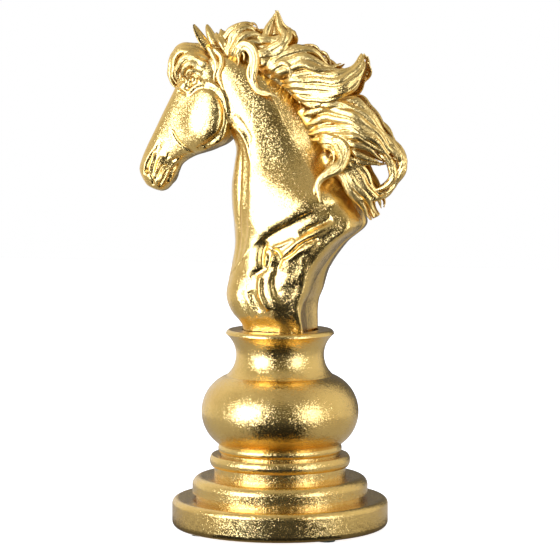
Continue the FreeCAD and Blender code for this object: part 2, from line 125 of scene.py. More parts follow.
def skin(rings):
    """Points and faces of a closed skin over equal rings of points, each end closed by a fan."""
    count, around = rings.shape[:2]
    points = rings.reshape(-1, 3)
    faces = []
    for i in range(count - 1):
        for j in range(around):
            k = (j + 1) % around
            faces.append((i * around + j, i * around + k, (i + 1) * around + k, (i + 1) * around + j))
    first, last = len(points), len(points) + 1
    points = np.vstack([points, rings[0].mean(0), rings[-1].mean(0)])
    end = (count - 1) * around
    for j in range(around):
        k = (j + 1) % around
        faces.append((first, k, j))
        faces.append((last, end + j, end + k))
    return points, faces


def soften(obj, rounds):
    """Smooths obj a few rounds."""
    smooth = obj.modifiers.new("soften", "SMOOTH")
    smooth.factor = 0.5
    smooth.iterations = rounds


def remeshed(obj, voxel, rounds):
    """obj's solids fused into one skin of small even faces, smoothed a few rounds."""
    fuse = obj.modifiers.new("fuse", "REMESH")
    fuse.mode = "VOXEL"
    fuse.voxel_size = voxel * UNIT
    soften(obj, rounds)
    solid = obj.evaluated_get(bpy.context.evaluated_depsgraph_get())
    mesh = bpy.data.meshes.new_from_object(solid)
    name = obj.name
    bpy.data.objects.remove(obj)
    mesh.name = name
    return new_object(name, mesh)


# ---------------------------------------------------------------- bust form

# Halves of cross-sections, from the front round to the back: place from -1 at the front to 1 at the back,
# and share of the half width.
ROUND_HALF = np.array([
    (-math.cos(math.radians(angle)), math.sin(math.radians(angle)))
    for angle in (0, 28, 55, 84, 103, 122, 140, 155, 168, 180)
])
# The head's section is flatter on its cheeks.
HEAD_HALF = np.array([
    (-1, 0), (-0.94, 0.42), (-0.66, 0.7), (-0.15, 0.91), (0.25, 1),
    (0.62, 0.99), (0.82, 0.83), (0.93, 0.58), (0.99, 0.28), (1, 0),
])
# The neck's section is widest near its front and slims towards the mane.
SLIM_HALF = np.array([
    (-1, 0), (-0.94, 0.4), (-0.76, 0.8), (-0.42, 1), (-0.05, 0.95),
    (0.27, 0.84), (0.52, 0.66), (0.73, 0.42), (0.91, 0.18), (1, 0),
])

# Front x, front z, back x, back z, half width, how far apart the two back edges are, and the shares of the
# chest's and of the neck's section.
NECK = [
    (-43, 227, 37, 227, 42, 0.82, 0.9, 0),
    (-45, 238, 36, 238, 44, 0.82, 1, 0),
    (-56, 251, 35, 251, 49, 0.8, 1, 0),
    (-62, 264, 37, 264, 52.5, 0.68, 1, 0),
    (-63, 277, 43, 277, 54, 0.55, 1, 0),
    (-58, 300, 53, 303, 54.5, 0.28, 1, 0),
    (-54, 326, 74, 331, 53, 0.16, 1, 0),
    (-55, 350, 100, 355, 50, 0.16, 0.9, 0),
    (-57, 376, 90, 382, 45, 0.3, 0.55, 0.3),
    (-56, 399, 68, 411, 40, 0.3, 0.15, 0.75),
    (-53, 421, 55, 440, 34, 0.3, 0, 1),
    (-51, 440, 42, 468, 32, 0.3, 0, 1),
    (-60, 463, 20, 500, 30, 0.3, 0, 0.8),
    (-76, 486, -8, 529, 27, 0.3, 0, 0.5),
    (-90, 512, -42, 546, 22, 0.3, 0, 0),
    (-99, 530, -62, 552, 16, 0.3, 0, 0),
]
# Forehead or nose x, z, jaw x, z, half width, and the share of the head's section.
HEAD = [
    (-92, 551, -60, 532, 16, 0),
    (-104, 543, -56, 510, 23, 0.5),
    (-115, 526, -51, 482, 28, 1),
    (-128, 500, -58, 450, 30, 1),
    (-139, 479, -78, 438, 27, 1),
    (-149, 460, -101, 430, 21.5, 0.8),
    (-158, 443, -116, 421, 18.5, 0.6),
    (-165, 427, -122, 410, 19.5, 0.5),
    (-168, 413, -127, 400, 20, 0.4),
    (-161, 398, -135, 391, 15, 0.3),
    (-155, 393, -141, 388.5, 8, 0.2),
]
AROUND = 16  # samples per control point of a section
NECK_RINGS = 260
HEAD_RINGS = 160
BUST_VOXEL = 0.9
BUST_ROUNDS = 8


def section(front, back, half_width, half):
    """A closed ring: the half outline and its mirror image, stretched from front to back."""
    front = np.array([front[0], 0, front[1]], float)
    back = np.array([back[0], 0, back[1]], float)
    along = (back - front) / 2
    outline = spline(half, len(half) * AROUND)
    outline = np.vstack([outline, outline[-2:0:-1] * [1, -1]])
    ring = (front + back) / 2 + outline[:, :1] * along
    ring[:, 1] = outline[:, 1] * half_width
    return ring


def neck_half(edge, chest_share, slim_share):
    """A mix of round, the neck's section and the chest's, whose back is two edges round a hollow."""
    hollow_depth = 0.3 * edge * (1.2 - edge)
    chest = [
        (-1, 0),
        (-0.88, 0.45),
        (-0.62, 0.77),
        (-0.15, 0.91),
        (0.36, 0.985),
        (0.68, 0.9 + 0.02 * edge),
        (0.93, 0.76 + 0.16 * edge),
        (1, edge),
        (1 - 0.6 * hollow_depth, 0.55 * edge),
        (1 - hollow_depth, 0),
    ]
    round_share = 1 - chest_share - slim_share
    return ROUND_HALF * round_share + np.array(chest) * chest_share + SLIM_HALF * slim_share


def head_half(share):
    """From round at share 0 to the head's section."""
    return ROUND_HALF * (1 - share) + HEAD_HALF * share


def form(stations, half_outline, count):
    """Points and faces of a form: half_outline takes the numbers after each station's half width."""
    rings = []
    for front_x, front_z, back_x, back_z, half_width, *shape in spline(stations, count):
        rings.append(section((front_x, front_z), (back_x, back_z), half_width, half_outline(*shape)))
    return skin(np.array(rings))


def joined(parts):
    """Several (points, faces) as one."""
    points, faces, offset = [], [], 0
    for some_points, some_faces in parts:
        points.append(some_points)
        faces.extend(tuple(i + offset for i in face) for face in some_faces)
        offset += len(some_points)
    return np.vstack(points), faces


# ---------------------------------------------------------------- relief


def near_path(points, path):
    """Each point's distance to the path in the side view, the share of its length there, and the side."""
    best = np.full(len(points), np.inf)
    share = np.zeros(len(points))
    sign = np.zeros(len(points))
    path = np.asarray(path, float)
    lengths = np.linalg.norm(np.diff(path, axis=0), axis=1)
    starts = np.concatenate([[0], np.cumsum(lengths)])
    flat = points[:, [0, 2]]
    for i, length in enumerate(lengths):
        step = (path[i + 1] - path[i]) / length
        offset = flat - path[i]
        along = np.clip(offset @ step, 0, length)
        away = offset - along[:, None] * step
        distance = np.hypot(away[:, 0], away[:, 1])
        closer = distance < best
        best[closer] = distance[closer]
        share[closer] = (starts[i] + along[closer]) / starts[-1]
        sign[closer] = np.sign(step[0] * offset[closer, 1] - step[1] * offset[closer, 0])
    return best, share, sign


def smooth_path(path):
    """The path as a fine polyline."""
    return spline(path, 6 * len(path))


def stroke(points, path, width, height, ends=0.25):
    """A ridge, or with a negative height a groove, that fades towards both ends."""
    distance, share, _ = near_path(points, smooth_path(path))
    fade = np.clip(np.minimum(share, 1 - share) / ends, 0, 1) if ends else 1
    return height * np.exp(-((distance / width) ** 2)) * fade**0.5


def shelf(points, path, height, edge, reach):
    """Ground raised on the right of the path, sharply at the path and fading over reach beyond it."""
    distance, share, sign = near_path(points, smooth_path(path))
    signed = -sign * distance
    rise = 1 / (1 + np.exp(-signed / edge))
    ends = np.clip(np.minimum(share, 1 - share) / 0.2 + 0.15, 0, 1)
    beyond = np.exp(-np.clip(signed, 0, None) / reach)
    before = np.exp(-np.clip(-signed, 0, None) / edge)
    return height * rise * beyond * before * ends


def hollow(points, path, depth, edge, reach):
    """Ground sunk on the right of the path: steeply at the path, and rising back over reach beyond it."""
    distance, share, sign = near_path(points, smooth_path(path))
    signed = -sign * distance
    ends = np.clip(np.minimum(share, 1 - share) / 0.25, 0, 1)
    step = 1 / (1 + np.exp(np.clip(-signed / edge, -30, 30)))
    return -depth * step * np.clip(1 - signed / reach, 0, 1) * ends


def pad(points, centre, radii, lean, height, edge=0.12):
    """A raised oval with a firm rim and a slightly domed top; lean in degrees turns it."""
    turn = math.radians(lean)
    dx, dz = points[:, 0] - centre[0], points[:, 2] - centre[1]
    lengthwise = (dx * math.cos(turn) + dz * math.sin(turn)) / radii[0]
    crosswise = (-dx * math.sin(turn) + dz * math.cos(turn)) / radii[1]
    radius = np.hypot(lengthwise, crosswise)
    inside = 1 / (1 + np.exp(np.clip((radius - 1) / edge, -30, 30)))
    return height * inside * (1 - 0.12 * np.clip(radius, 0, 1) ** 2)


# Strokes of each region, in the side view: path, width, height (a negative one cuts in).
CHEEK = [
    ([(-79, 516), (-69, 511), (-61, 504), (-56, 493), (-54, 480), (-54, 467)], 2.6, 2.4),
    (
        [(-84, 509), (-73, 506), (-66, 499), (-61, 489), (-60, 477), (-62, 464), (-70, 452), (-84, 443)],
        2.4,
        -2.6,
    ),
    ([(-123, 461), (-118, 452), (-113, 446), (-104, 439), (-96, 435)], 1.3, -2.2),
    ([(-96, 434), (-79, 442), (-64, 452), (-56, 463)], 2.8, 2),
    ([(-92, 441), (-78, 448), (-68, 457)], 2, -1.4),
    ([(-112, 424), (-105, 428), (-99, 433)], 1.4, -1.2),
]
EYE = [
    ([(-106, 500), (-100, 505), (-94, 510), (-87, 513), (-79, 516)], 2.6, 1.8),
    ([(-101, 498), (-95, 504), (-88, 508), (-80, 509)], 2.2, -0.8),
    ([(-119, 512), (-114, 517), (-107, 519), (-102, 514)], 1.7, 3),
    ([(-118, 509), (-113, 508), (-108, 506), (-103, 503)], 1.5, 2.4),
    ([(-121, 517), (-113, 523), (-104, 522)], 2, -2),
    ([(-117, 505), (-111, 504), (-106, 500)], 1.5, -1.8),
    ([(-101, 517), (-101, 508)], 1.6, -2.4),
]
MUZZLE_DEPTH = 0.7  # share of the heights in the muzzle's table
MUZZLE = [
    ([(-141, 449), (-147, 438), (-155, 426), (-159, 415)], 2.8, 1.8),
    ([(-138, 447), (-142, 436), (-145, 428)], 3, -1),
    ([(-146, 436), (-152, 425), (-155, 419), (-157, 408)], 1.5, -2.8),
    ([(-144, 434), (-149, 421), (-152, 409)], 2.1, 2.6),
    ([(-143, 427), (-146, 416), (-147, 407)], 1.4, -1.6),
    ([(-135, 430), (-140, 421), (-142, 410)], 2.3, 2.8),
    ([(-144, 402), (-139, 413), (-135, 419), (-130, 417), (-126, 412)], 1.5, -3.2),
    ([(-134, 414), (-136, 407), (-139, 400)], 1.3, 2.4),
    ([(-130, 415), (-133, 407), (-137, 400), (-141, 394)], 1.4, -3.4),
    ([(-117, 428), (-123, 421), (-128, 414)], 1.5, 2),
    ([(-117, 424), (-123, 416), (-127, 410), (-129, 405), (-133, 398)], 1.4, -2.8),
    ([(-123, 409), (-127, 403), (-131, 398)], 1.7, 2.2),
    ([(-121, 407), (-125, 400), (-130, 395)], 1.4, -2.2),
    ([(-153, 411), (-148, 405), (-147, 396)], 1.6, -2.6),
    ([(-132, 425), (-126, 424), (-121, 426), (-116, 429)], 1.3, -1.8),
    ([(-131, 424), (-127, 434)], 1.3, -1.4),
]
NECK_FRONT = [
    ([(-38, 440), (-38, 410), (-38, 380), (-40, 350), (-43, 310)], 2.2, -1.6),
    ([(-45, 440), (-46, 410), (-46, 380), (-47, 350)], 3, 1),
    ([(-50, 466), (-38, 458), (-30, 444), (-26, 425)], 2.4, 2.2),
    ([(-46, 478), (-34, 465), (-24, 448)], 3, -1.2),
]
CHEST = [
    # folds that fan out from the shoulder
    ([(72, 363), (62, 358), (50, 352), (36, 344)], 3.6, -3.4),
    ([(78, 356), (60, 349), (44, 341), (28, 330), (17, 321)], 3.8, 2.8),
    ([(30, 339), (16, 332), (2, 328), (-5, 325)], 2.4, 1.8),
    ([(58, 341), (40, 334), (28, 323), (13, 314)], 2, -3),
    ([(62, 338), (48, 331), (34, 324), (20, 314)], 3.6, 2),
    ([(58, 336), (44, 319), (38, 303), (33, 288)], 6, 2.4),
    # knot of small folds on the breast
    ([(-3, 336), (-8, 326), (-9, 316), (-8, 307)], 3, -4),
    ([(6, 312), (-8, 303), (-22, 294)], 4.5, -2.5),
    ([(-6, 327), (3, 328), (12, 322), (13, 313), (8, 305)], 2.6, -3),
    ([(-2, 322), (-3, 306)], 2.2, 2.2),
    ([(7, 323), (4, 313), (-1, 304)], 2.2, 2),
    # ridges that run down into the foot
    ([(-9, 298), (-10, 283), (-8, 271), (0, 257)], 3, 3),
    ([(-22, 279), (-16, 266), (-9, 255)], 4.8, -2),
    ([(-41, 280), (-33, 262), (-25, 248)], 4.5, 0.8),
    ([(-35, 279), (-28, 262), (-19, 250)], 4.5, -0.7),
    ([(-30, 278), (-24, 263), (-14, 251)], 4.5, 0.8),
]


def strokes(points, rows):
    """The sum of a region's strokes."""
    return sum(stroke(points, path, width, height) for path, width, height in rows)


def head_relief(points):
    """Cheek, eye and muzzle; the same on both sides."""
    height = strokes(points, CHEEK) + strokes(points, EYE) + MUZZLE_DEPTH * strokes(points, MUZZLE)
    height += pad(points, (-81, 475), (23, 31), -14, 4.5, 0.2)
    height += pad(points, (-109, 512), (5, 4), 10, 3.4, 0.2)
    height += pad(points, (-89, 517), (3, 2.6), 0, 2.4, 0.25)
    height += pad(points, (-97, 518), (2.6, 3), 0, 2, 0.25)
    height += pad(points, (-155, 412), (2.5, 3), 0, -3, 0.2)
    return height


def body_relief(points):
    """Throat, windpipe, the shoulder's roll over the breast, and the breast's folds."""
    throat = [(-26, 455), (-27, 430), (-26, 382), (-26, 347), (-30, 330), (-36, 294)]
    roll = [(80, 387), (58, 374), (41, 367), (24, 358), (10, 351), (-4, 342), (-15, 333), (-22, 326)]
    cleft = [(13, 317), (9, 309), (6, 299), (4, 290), (5, 281), (9, 273), (16, 263)]
    height = strokes(points, NECK_FRONT) + strokes(points, CHEST)
    height += shelf(points, throat, -2.5, 1.8, 30)
    height += shelf(points, roll, 8, 3.4, 65)
    height += hollow(points, cleft[::-1], 5, 1.8, 24)
    height += pad(points, (-21, 312), (9, 22), 0, 2.4, 0.3)
    return height


def make_bust():
    """Head, neck and chest as one skin with its relief."""
    whole = joined([form(NECK, neck_half, NECK_RINGS), form(HEAD, head_half, HEAD_RINGS)])
    bust = remeshed(mesh_object("bust", *whole), BUST_VOXEL, BUST_ROUNDS)
    mesh = bust.data
    points = get_points(mesh)
    normals = get_normals(mesh)
    # The relief fades where the skin turns from the side.
    facing = np.clip(np.abs(normals[:, 1]) * 1.6, 0, 1)
    height = head_relief(points) + body_relief(points)
    set_points(mesh, points + normals * (height * facing)[:, None])
    soften(bust, 1)
    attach(bust, "statue")
    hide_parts("bust_shell")
    return bust


# ---------------------------------------------------------------- hair and ears

# Locks of each piece: half width, how far out from the middle plane at root, middle and tip, and guide
# points (x, z) from root to tip.
LOCKS = {
    "mane_crest": [
        (4, (8, 10, 5), [(-66, 558), (-62, 568), (-56, 576), (-44, 580), (-34, 582), (-28, 577)]),
        (5, (14, 17, 10), [(-60, 546), (-54, 557), (-52, 568), (-43, 575), (-33, 577), (-25, 572)]),
        (5, (18, 20, 13), [(-52, 548), (-46, 558), (-37, 567), (-25, 571), (-16, 566)]),
        (4, (20, 22, 16), [(-46, 546), (-37, 556), (-26, 562), (-14, 559)]),
        (3, (9, 14, 18), [(-72, 567), (-68, 560), (-61, 551)]),
        (3, (7, 12, 17), [(-67, 570), (-63, 562), (-57, 553)]),
        (5, (21, 18, 3), [(-22, 548), (-7, 552), (5, 560), (9, 569), (2, 580), (-5, 597)]),
        (4, (14, 8, 3), [(-16, 562), (-13, 571), (-10, 582), (-6, 594)]),
        (4, (22, 20, 6), [(-20, 545), (-4, 547), (9, 556), (16, 567), (9, 577)]),
        (5, (15, 12, 5), [(-20, 562), (-6, 563), (6, 567), (15, 572), (20, 566)]),
        (5, (21, 18, 7), [(-17, 538), (-5, 539), (9, 547), (23, 554), (36, 554), (48, 549)]),
        (5, (21, 17, 6), [(-7, 536), (8, 545), (24, 552), (40, 551), (51, 545), (59, 534)]),
        (5, (22, 21, 7), [(-4, 531), (13, 538), (32, 543), (50, 538), (63, 532), (74, 537)]),
        (5, (22, 24, 13), [(3, 526), (18, 532), (35, 535), (54, 530), (68, 529), (79, 531)]),
        (3, (22, 25, 23), [(-8, 532), (6, 537), (17, 533), (20, 524), (16, 515)]),
    ],
    "mane_flick": [
        (5, (20, 22, 5), [(18, 524), (37, 526), (57, 524), (74, 524), (86, 530), (93, 538), (98, 548)]),
        (5, (21, 25, 6), [(17, 518), (38, 519), (60, 517), (77, 518), (90, 527), (98, 540), (99, 547)]),
        (5, (20, 26, 8), [(19, 512), (40, 512), (60, 509), (79, 511), (93, 521), (101, 534),
                          (100, 545)]),
        (5, (18, 26, 10), [(21, 508), (38, 505), (57, 502), (78, 505), (91, 513), (100, 525),
                           (102, 537)]),
        (5, (17, 25, 14), [(24, 503), (38, 497), (57, 496), (76, 500), (90, 508), (98, 519)]),
        (4, (15, 24, 21), [(27, 497), (42, 491), (58, 492), (71, 497)]),
    ],
    "mane_fall": [
        (5, (20, 14, 5), [(60, 493), (78, 493), (93, 494), (105, 484), (117, 467), (130, 450),
                          (142, 433)]),
        (5, (22, 21, 8), [(55, 492), (76, 490), (93, 485), (110, 473), (125, 455), (137, 436)]),
        (5, (14, 26, 10), [(36, 481), (55, 486), (74, 484), (93, 477), (112, 463), (128, 446),
                           (140, 430)]),
        (5, (14, 28, 14), [(42, 471), (62, 476), (83, 473), (101, 465), (118, 452), (132, 435)]),
        (5, (15, 28, 15), [(48, 460), (72, 465), (90, 464), (106, 456), (122, 445), (134, 429)]),
        (5, (16, 28, 18), [(52, 453), (75, 457), (93, 455), (109, 448), (124, 435)]),
        (4, (24, 26, 17), [(68, 451), (80, 450), (95, 446), (110, 439), (124, 429)]),
        (4, (22, 24, 17), [(72, 443), (84, 440), (98, 435), (110, 429), (122, 424)]),
        (4, (20, 21, 15), [(75, 436), (87, 431), (99, 427), (112, 424), (122, 421)]),
        (6, (8, 4, 5), [(133, 446), (143, 431), (142, 414), (135, 401), (126, 391), (113, 389)]),
        (5, (12, 9, 9), [(122, 434), (133, 425), (135, 412), (129, 402), (118, 394), (105, 396)]),
    ],
    "mane_fringe": [
        (5, (20, 19, 4), [(68, 424), (77, 411), (85, 398), (94, 384), (103, 371), (108, 359)]),
        (5, (22, 19, 4), [(75, 424), (84, 414), (93, 401), (103, 388), (111, 376), (116, 364)]),
        (5, (23, 17, 4), [(82, 427), (91, 419), (100, 406), (109, 393), (118, 382), (121, 373)]),
        (4, (21, 13, 5), [(90, 428), (100, 419), (106, 409), (111, 399), (119, 391), (130, 391)]),
        (4, (25, 26, 19), [(66, 418), (74, 424), (85, 428), (95, 428), (104, 422)]),
        (4, (14, 9, 4), [(98, 386), (108, 384), (118, 385), (126, 390), (134, 398)]),
    ],
    "neck_curl": [
        (6, (20, 37, 46), [(56, 455), (71, 452), (80, 446), (85, 437), (84, 427), (79, 420), (69, 414),
                           (60, 407), (55, 399), (56, 391), (60, 381)]),
        (5, (20, 36, 44), [(55, 449), (68, 448), (75, 443), (79, 436), (80, 428), (75, 421), (66, 414),
                           (57, 407), (52, 398), (53, 389)]),
        (3, (20, 28, 30), [(57, 444), (64, 442), (69, 437), (71, 430), (70, 423)]),
    ],
    "neck_strand": [
        (4.5, (20, 27, 29), [(-46, 553), (-38, 559), (-30, 556), (-24, 549), (-21, 540), (-23, 529),
                             (-25, 521), (-22, 513), (-14, 506), (-5, 502), (4, 499)]),
        (3.5, (20, 27, 29), [(-44, 551), (-35, 554), (-29, 547), (-27, 537), (-29, 526), (-28, 517),
                             (-23, 508), (-15, 503), (-6, 500)]),
        (2, (18, 22, 23), [(-55, 550), (-48, 550), (-43, 546), (-42, 540), (-44, 533)]),
        (2, (20, 23, 24), [(-41, 552), (-37, 549), (-35, 545), (-36, 539)]),
    ],
    "forelock": [
        (4, (5, 8, 4), [(-82, 553), (-96, 557), (-105, 558), (-113, 557), (-120, 552), (-125, 544),
                        (-129, 534), (-129, 522), (-124, 510), (-116, 502)]),
        (4, (12, 13, 8), [(-84, 545), (-96, 551), (-104, 554), (-113, 554), (-119, 550), (-124, 543),
                          (-128, 534), (-128, 522), (-123, 511), (-115, 504)]),
        (4, (15, 16, 12), [(-80, 540), (-90, 544), (-99, 549), (-106, 551), (-113, 550), (-118, 546),
                           (-122, 540), (-124, 532), (-124, 522), (-118, 512)]),
        (4, (19, 20, 15), [(-82, 536), (-92, 540), (-99, 543), (-106, 543), (-112, 540), (-116, 535),
                           (-119, 529), (-118, 521), (-113, 515)]),
        (4, (19, 22, 19), [(-82, 529), (-93, 534), (-101, 536), (-107, 533), (-111, 527), (-110, 520)]),
        (3, (21, 24, 22), [(-84, 523), (-93, 527), (-100, 528), (-104, 524), (-103, 518)]),
        (3, (18, 25, 27), [(-80, 556), (-76, 551), (-73, 544), (-70, 537), (-69, 530), (-70, 522),
                           (-70, 515)]),
        (3, (18, 25, 26), [(-74, 554), (-67, 547), (-64, 541), (-63, 534), (-65, 526), (-65, 517),
                           (-60, 505), (-56, 494)]),
    ],
}
# The solid masses under each piece's locks, on the middle plane: half width, half height, guide points.
CORES = {
    "mane_crest": [
        (17, 13, [(-62, 548), (-44, 560), (-20, 556), (5, 544), (30, 536), (52, 526), (68, 510)]),
        (14, 13, [(-44, 545), (-20, 532), (4, 514), (22, 496), (34, 480)]),
        (8, 8, [(-6, 552), (-5, 568), (-6, 580), (-7, 590)]),
    ],
    "mane_flick": [(15, 13, [(24, 508), (46, 512), (68, 511), (84, 519), (94, 532)])],
    "mane_fall": [
        (18, 24, [(38, 474), (62, 470), (86, 464), (108, 450), (126, 432)]),
        (14, 12, [(24, 492), (40, 468), (52, 444), (60, 424)]),
    ],
    "mane_fringe": [
        (15, 13, [(58, 442), (72, 424), (86, 406), (98, 388), (108, 372), (113, 362)]),
        (15, 11, [(54, 440), (62, 418), (68, 404), (74, 392)]),
    ],
    "forelock": [
        (12, 8, [(-78, 546), (-94, 548), (-108, 542), (-116, 530), (-117, 514), (-115, 502)]),
        (9, 7, [(-106, 541), (-113, 531), (-117, 521), (-117, 508), (-114, 496), (-110, 485)]),
    ],
}
BOTH_SIDES = ("mane_crest", "mane_flick", "mane_fall", "mane_fringe", "forelock")
STRAND = 3.4  # width of a single strand
WAVE = 0.9  # how far a lock wanders to either side
WAVE_LENGTH = 34
LOCK_STEP = 1.7  # distance between a lock's rings
CORE_STEP = 4
HAIR_VOXEL = 0.75


def unit_rows(rows):
    """Each row scaled to length one."""
    return rows / np.linalg.norm(rows, axis=1, keepdims=True)


def even_path(path, spacing):
    """Points evenly spaced along the smooth curve through path, and the share and length up to each."""
    fine = spline(path, 14 * len(path))
    lengths = np.concatenate([[0], np.cumsum(np.linalg.norm(np.diff(fine, axis=0), axis=1))])
    spots = np.linspace(0, lengths[-1], max(12, int(lengths[-1] / spacing)))
    points = np.stack([np.interp(spots, lengths, fine[:, k]) for k in range(3)], 1)
    return points, spots / lengths[-1], spots


def strand_ridges(turn, share, strands, random):
    """Radius round a lock: strands of uneven width and height with sharp grooves between them."""
    uneven = turn + 0.22 * np.sin(2 * turn + random.uniform(0, 6))
    uneven = uneven + 0.14 * np.sin(3 * turn + random.uniform(0, 6))
    wave = strands * uneven / 2 + random.uniform(0, 3) + random.uniform(-0.7, 0.7) * share[:, None]
    heights = random.uniform(0.55, 1, 2 * strands)
    strand = np.floor(wave / math.pi + 0.5).astype(int) % len(heights)
    return 0.72 + 0.28 * np.abs(np.cos(wave)) ** 0.75 * heights[strand]


def rope(centre, along, half_width, half_depth, ridges):
    """Points and faces of a flattened rope, its flat side away from the middle plane, or up on top."""
    y = centre[:, 1]
    outward = np.stack([np.zeros(len(y)), y / 12, np.maximum(0.15, 1.1 - np.abs(y) / 22)], 1)
    across = unit_rows(np.cross(along, outward))
    outward = np.cross(across, along)
    turn = np.linspace(0, 2 * math.pi, ridges.shape[1], endpoint=False)
    rings = centre[:, None] + across[:, None] * (half_width[:, None] * ridges * np.cos(turn))[..., None]
    rings += outward[:, None] * (half_depth[:, None] * ridges * np.sin(turn))[..., None]
    return skin(rings)


def lock(path, half_width, random):
    """One lock: a rope of strands that rises out of its root, wanders a little and thins to a tip."""
    centre, share, spots = even_path(path, LOCK_STEP)
    along = unit_rows(np.gradient(centre, axis=0))
    aside = unit_rows(np.cross(along, [0, 1, 0]))
    wander = np.sin(2 * math.pi * spots / WAVE_LENGTH + random.uniform(0, 6)) * np.clip(share * 4, 0, 1)
    centre = centre + aside * (WAVE * wander)[:, None]
    along = unit_rows(np.gradient(centre, axis=0))
    root = 1 - 0.6 * np.clip(1 - share / 0.3, 0, 1) ** 2
    tip = 1 - 0.8 * np.clip(share / 0.5 - 1, 0, 1) ** 1.8
    taper = root * tip
    strands = max(5, round(2 * math.pi * half_width / STRAND))
    turn = np.linspace(0, 2 * math.pi, strands * 8, endpoint=False)
    ridges = strand_ridges(turn, share, strands, random)
    return rope(centre, along, half_width * 1.15 * taper, half_width * 0.75 * taper, ridges)


def core(path, half_width, half_height):
    """One smooth mass under the locks."""
    centre, share, _ = even_path([(x, 0, z) for x, z in path], CORE_STEP)
    along = unit_rows(np.gradient(centre, axis=0))
    taper = np.sqrt(np.clip(share / 0.12, 0.1, 1)) * (1 - 0.7 * np.clip(share / 0.45 - 0.8, 0, 1))
    return rope(centre, along, half_width * taper, half_height * taper, np.ones((len(share), 32)))


def guide(points, out, side, random):
    """Guide points in space, with a root inside the mass below; the far side's are moved a little."""
    flat = np.array(points, float)
    if side > 0:
        flat[:-1] += random.uniform(-2, 2, (len(flat) - 1, 2))
    share = np.linspace(0, 1, len(flat))
    y = side * np.interp(share, (0, 0.5, 1), out)
    path = np.stack([flat[:, 0], y, flat[:, 1]], 1)
    root = path[0] + 0.7 * (path[0] - path[1])
    root[1] = path[0, 1] * 0.3
    return np.vstack([root, path])


def make_hair(name):
    """One cast piece of the mane: its masses and every lock on them."""
    random = np.random.default_rng(len(name))
    parts = [core(path, half_width, half_height) for half_width, half_height, path in CORES.get(name, [])]
    for half_width, out, points in LOCKS[name]:
        sides = (-1, 1) if name in BOTH_SIDES else (-1,)
        for side in sides:
            parts.append(lock(guide(points, out, side, random), half_width, random))
    hair = remeshed(mesh_object(name + "_locks", *joined(parts)), HAIR_VOXEL, 1)
    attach(hair, "statue")
    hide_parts(name)
    return hair


# Stations along an ear: x, out from the middle plane, z, half width.
EAR = [
    (-74, 14, 542, 4.6),
    (-77.5, 17, 550, 5.8),
    (-85, 21, 561, 6.2),
    (-89.5, 23.5, 569, 5.2),
    (-93, 25.5, 576, 3.6),
    (-95, 26.5, 581, 1.4),
]


def make_ear(name, side):
    """A pointed leaf, scooped on the side that faces forward and out."""
    stations = spline(EAR, 40)
    centre = stations[:, :3] * [1, side, 1]
    along = unit_rows(np.gradient(centre, axis=0))
    opening = unit_rows(np.cross(np.cross(along, [-0.45, side, 0.1]), along))
    across = np.cross(along, opening)
    turn = np.linspace(0, 2 * math.pi, 48, endpoint=False)
    lift = np.where(np.sin(turn) < 0, np.sin(turn) * 0.75, -np.sin(turn) * 0.42)
    outline = across[:, None] * np.cos(turn)[None, :, None] + opening[:, None] * lift[None, :, None]
    rings = centre[:, None] + outline * stations[:, 3][:, None, None]
    ear = mesh_object(name + "_leaf", *skin(rings))
    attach(ear, "statue")
    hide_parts(name)
    return ear


# ---------------------------------------------------------------- materials


class Nodes:
    """Short calls for the nodes of one material, or of the world."""

    def __init__(self, name, family=bpy.data.materials):
        self.owner = family.new(name)
        self.owner.use_nodes = True
        self.tree = self.owner.node_tree
        self.shader = self.tree.nodes.get("Principled BSDF")

    def set(self, node, name, value):
        """Links the node's input to value if that is a socket, or else sets it."""
        socket = node.inputs[name]
        if isinstance(value, bpy.types.NodeSocket):
            self.tree.links.new(value, socket)
        else:
            socket.default_value = value

    def add(self, kind, **inputs):
        """A node of the kind, with its named inputs linked or set."""
        node = self.tree.nodes.new("ShaderNode" + kind)
        for name, value in inputs.items():
            self.set(node, name.replace("_", " "), value)
        return node

    def result(self, kind, operation, values):
        """What an operation on the values gives."""
        node = self.add(kind)
        node.operation = operation
        for i, value in enumerate(values):
            self.set(node, i, value)
        return node.outputs[0]

    def math(self, operation, *values):
        return self.result("Math", operation, values)

    def vector(self, operation, *values):
        return self.result("VectorMath", operation, values)

    def mix(self, factor, start, end, color=False):
        """start where factor is 0 and end where it is 1: numbers, or colours."""
        node = self.add("Mix")
        node.data_type = "RGBA" if color else "FLOAT"
        first = 6 if color else 2  # the node has a pair of inputs of its own for each data type
        for name, value in ((0, factor), (first, start), (first + 1, end)):
            self.set(node, name, value)
        return node.outputs[2 if color else 0]

    def ramp(self, factor, low, high, start, end):
        """A number or colour that runs from start to end while factor goes from low to high."""
        if isinstance(start, tuple):
            return self.mix(self.ramp(factor, low, high, 0.0, 1.0), (*start, 1), (*end, 1), color=True)
        limits = {"From_Min": low, "From_Max": high, "To_Min": start, "To_Max": end}
        return self.add("MapRange", Value=factor, **limits).outputs[0]

    def rise(self, value, start, end):
        """0 to 1, softly, while value goes from start to end."""
        node = self.add("MapRange", Value=value, From_Min=start, From_Max=end)
        node.interpolation_type = "SMOOTHSTEP"
        return node.outputs[0]


LEAF_DARK = (0.8, 0.52, 0.155)
LEAF_LIGHT = (0.9, 0.62, 0.2)
# Painted shade: the browner leaf colour laid into recesses, and how far ambient occlusion looks for them.
LEAF_PAINTED_SHADE = (0.66, 0.46, 0.15, 1)
PAINTED_SHADE_REACH = 0.008  # metres
FACET_SCALE = 1600.0
FACET_TILT = 2.0  # an eighth of it is how far the few steepest facets of the leaf lean, in radians


